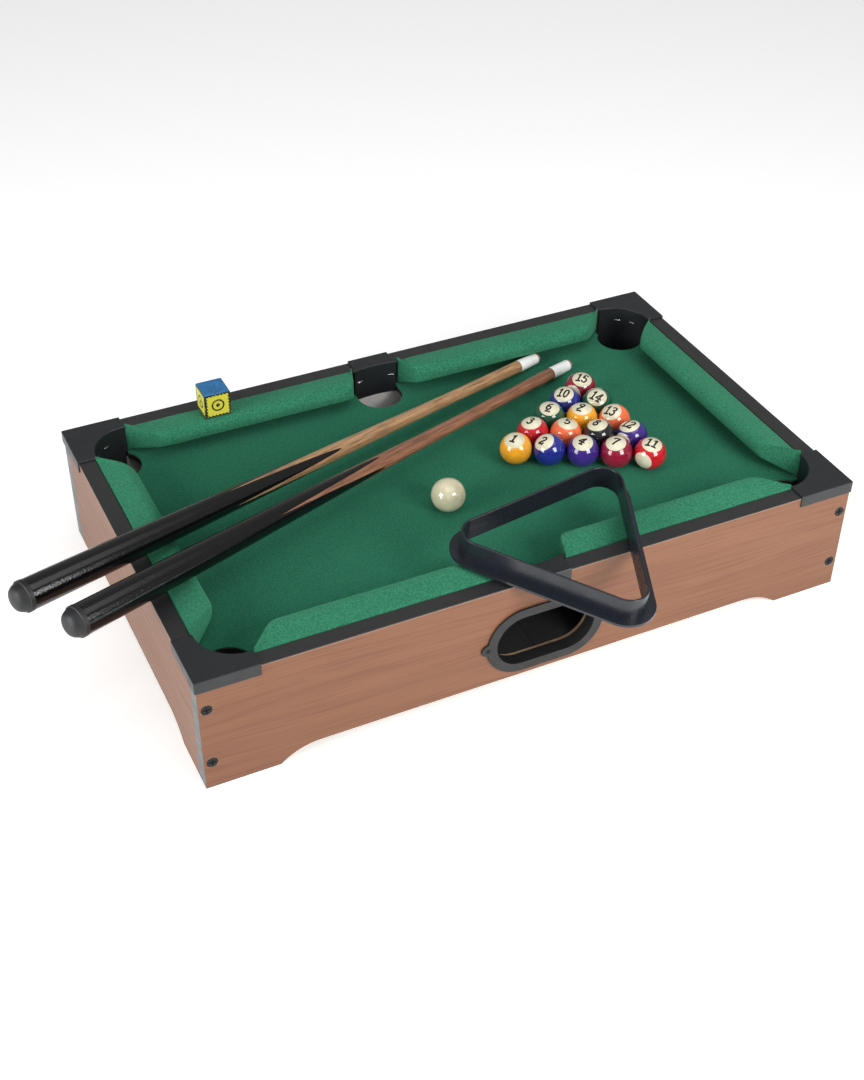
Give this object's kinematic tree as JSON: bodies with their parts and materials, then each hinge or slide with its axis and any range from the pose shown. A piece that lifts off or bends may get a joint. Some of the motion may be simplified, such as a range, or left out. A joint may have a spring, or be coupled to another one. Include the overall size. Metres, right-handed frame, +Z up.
{
  "type": "mini pool table",
  "caption": "Tabletop mini pool table with six pockets, front ball return, balls, two cues, rack and chalk.",
  "frame": {"origin": "centre of the cabinet's footprint, on the surface it stands on", "axes": "+X along the table to the right, +Y to the rear away from the ball return, +Z up"},
  "size_m": [0.6048, 0.3797, 0.131],
  "materials": {
    "laminate": "satin wood-grain laminate outside, pale backing inside",
    "edge_band": "satin",
    "bed_mdf": "raw fibreboard",
    "bed_cloth": "short-napped green cloth",
    "cushion_cloth": "green cloth over foam",
    "pocket_plastic": "fine-textured moulded plastic",
    "bezel_plastic": "satin moulded plastic",
    "screw_black": "black oxide",
    "staple_steel": "bright",
    "ramp_board": "black-faced hardboard",
    "batten_wood": "planed softwood",
    "cue_ball": "polished resin, cream",
    "ball_01": "polished resin, solid colour",
    "ball_02": "polished resin, solid colour",
    "ball_03": "polished resin, solid colour",
    "ball_04": "polished resin, solid colour",
    "ball_05": "polished resin, solid colour",
    "ball_06": "polished resin, solid colour",
    "ball_07": "polished resin, solid colour",
    "ball_08": "polished resin, solid colour",
    "ball_09": "polished resin, white with a coloured stripe",
    "ball_10": "polished resin, white with a coloured stripe",
    "ball_11": "polished resin, white with a coloured stripe",
    "ball_12": "polished resin, white with a coloured stripe",
    "ball_13": "polished resin, white with a coloured stripe",
    "ball_14": "polished resin, white with a coloured stripe",
    "ball_15": "polished resin, white with a coloured stripe",
    "cue_a_wood": "lacquered, black butt with four points",
    "cue_b_wood": "lacquered, black butt with four points",
    "ferrule": "polished white",
    "tip_leather": "pressed leather",
    "bumper_rubber": "satin",
    "rack_plastic": "moulded black, satin gloss",
    "chalk": "pressed blue chalk",
    "chalk_paper": null
  },
  "bodies": {
    "table": {"ball_return_bezel": "bezel_plastic", "bed_battens": "batten_wood", "bed_board": "bed_mdf", "bed_cloth": "bed_cloth", "bezel_screws": "screw_black", "front_left_cushion": "cushion_cloth", "front_left_pocket": "pocket_plastic", "front_panel": "laminate", "front_panel_screws": "screw_black", "front_rail_band": "edge_band", "front_right_cushion": "cushion_cloth", "front_right_pocket": "pocket_plastic", "front_side_pocket": "pocket_plastic", "left_ball_ramp": "ramp_board", "left_end_cushion": "cushion_cloth", "left_end_panel": "laminate", "left_rail_band": "edge_band", "pocket_staples": "staple_steel", "rear_left_cushion": "cushion_cloth", "rear_left_pocket": "pocket_plastic", "rear_panel": "laminate", "rear_panel_screws": "screw_black", "rear_rail_band": "edge_band", "rear_right_cushion": "cushion_cloth", "rear_right_pocket": "pocket_plastic", "rear_side_pocket": "pocket_plastic", "right_ball_ramp": "ramp_board", "right_end_cushion": "cushion_cloth", "right_end_panel": "laminate", "right_rail_band": "edge_band"},
    "ball_01_body": {"ball_01": "ball_01"},
    "ball_02_body": {"ball_02": "ball_02"},
    "ball_03_body": {"ball_03": "ball_03"},
    "ball_04_body": {"ball_04": "ball_04"},
    "ball_05_body": {"ball_05": "ball_05"},
    "ball_06_body": {"ball_06": "ball_06"},
    "ball_07_body": {"ball_07": "ball_07"},
    "ball_08_body": {"ball_08": "ball_08"},
    "ball_09_body": {"ball_09": "ball_09"},
    "ball_10_body": {"ball_10": "ball_10"},
    "ball_11_body": {"ball_11": "ball_11"},
    "ball_12_body": {"ball_12": "ball_12"},
    "ball_13_body": {"ball_13": "ball_13"},
    "ball_14_body": {"ball_14": "ball_14"},
    "ball_15_body": {"ball_15": "ball_15"},
    "cue_ball_body": {"cue_ball": "cue_ball"},
    "cue_a": {"cue_a_bumper": "bumper_rubber", "cue_a_ferrule": "ferrule", "cue_a_stick": "cue_a_wood", "cue_a_tip": "tip_leather"},
    "cue_b": {"cue_b_bumper": "bumper_rubber", "cue_b_ferrule": "ferrule", "cue_b_stick": "cue_b_wood", "cue_b_tip": "tip_leather"},
    "rack": {"ball_rack": "rack_plastic"},
    "chalk": {"chalk_cube": "chalk", "chalk_wrapper": "chalk_paper"}
  },
  "joints": [
    {"name": "ball_01_lift", "type": "slide", "parent": "table", "child": "ball_01_body", "axis": [0, 0, 1], "range_m": [0, 0.06]},
    {"name": "ball_02_lift", "type": "slide", "parent": "table", "child": "ball_02_body", "axis": [0, 0, 1], "range_m": [0, 0.06]},
    {"name": "ball_03_lift", "type": "slide", "parent": "table", "child": "ball_03_body", "axis": [0, 0, 1], "range_m": [0, 0.06]},
    {"name": "ball_04_lift", "type": "slide", "parent": "table", "child": "ball_04_body", "axis": [0, 0, 1], "range_m": [0, 0.06]},
    {"name": "ball_05_lift", "type": "slide", "parent": "table", "child": "ball_05_body", "axis": [0, 0, 1], "range_m": [0, 0.06]},
    {"name": "ball_06_lift", "type": "slide", "parent": "table", "child": "ball_06_body", "axis": [0, 0, 1], "range_m": [0, 0.06]},
    {"name": "ball_07_lift", "type": "slide", "parent": "table", "child": "ball_07_body", "axis": [0, 0, 1], "range_m": [0, 0.06]},
    {"name": "ball_08_lift", "type": "slide", "parent": "table", "child": "ball_08_body", "axis": [0, 0, 1], "range_m": [0, 0.06]},
    {"name": "ball_09_lift", "type": "slide", "parent": "table", "child": "ball_09_body", "axis": [0, 0, 1], "range_m": [0, 0.06]},
    {"name": "ball_10_lift", "type": "slide", "parent": "table", "child": "ball_10_body", "axis": [0, 0, 1], "range_m": [0, 0.06]},
    {"name": "ball_11_lift", "type": "slide", "parent": "table", "child": "ball_11_body", "axis": [0, 0, 1], "range_m": [0, 0.06]},
    {"name": "ball_12_lift", "type": "slide", "parent": "table", "child": "ball_12_body", "axis": [0, 0, 1], "range_m": [0, 0.06]},
    {"name": "ball_13_lift", "type": "slide", "parent": "table", "child": "ball_13_body", "axis": [0, 0, 1], "range_m": [0, 0.06]},
    {"name": "ball_14_lift", "type": "slide", "parent": "table", "child": "ball_14_body", "axis": [0, 0, 1], "range_m": [0, 0.06]},
    {"name": "ball_15_lift", "type": "slide", "parent": "table", "child": "ball_15_body", "axis": [0, 0, 1], "range_m": [0, 0.06]},
    {"name": "cue_ball_shot", "type": "slide", "parent": "table", "child": "cue_ball_body", "axis": [0.9158, 0.4017, 0], "range_m": [0, 0.05]},
    {"name": "cue_a_stroke", "type": "slide", "parent": "table", "child": "cue_a", "axis": [-0.9374, -0.3393, 0.0787], "range_m": [0, 0.12]},
    {"name": "cue_b_stroke", "type": "slide", "parent": "table", "child": "cue_b", "axis": [-0.926, -0.3704, 0.0738], "range_m": [0, 0.12]},
    {"name": "rack_lift", "type": "slide", "parent": "table", "child": "rack", "axis": [0, 0, 1], "range_m": [0, 0.06]},
    {"name": "chalk_lift", "type": "slide", "parent": "table", "child": "chalk", "axis": [0, 0, 1], "range_m": [0, 0.04]}
  ]
}
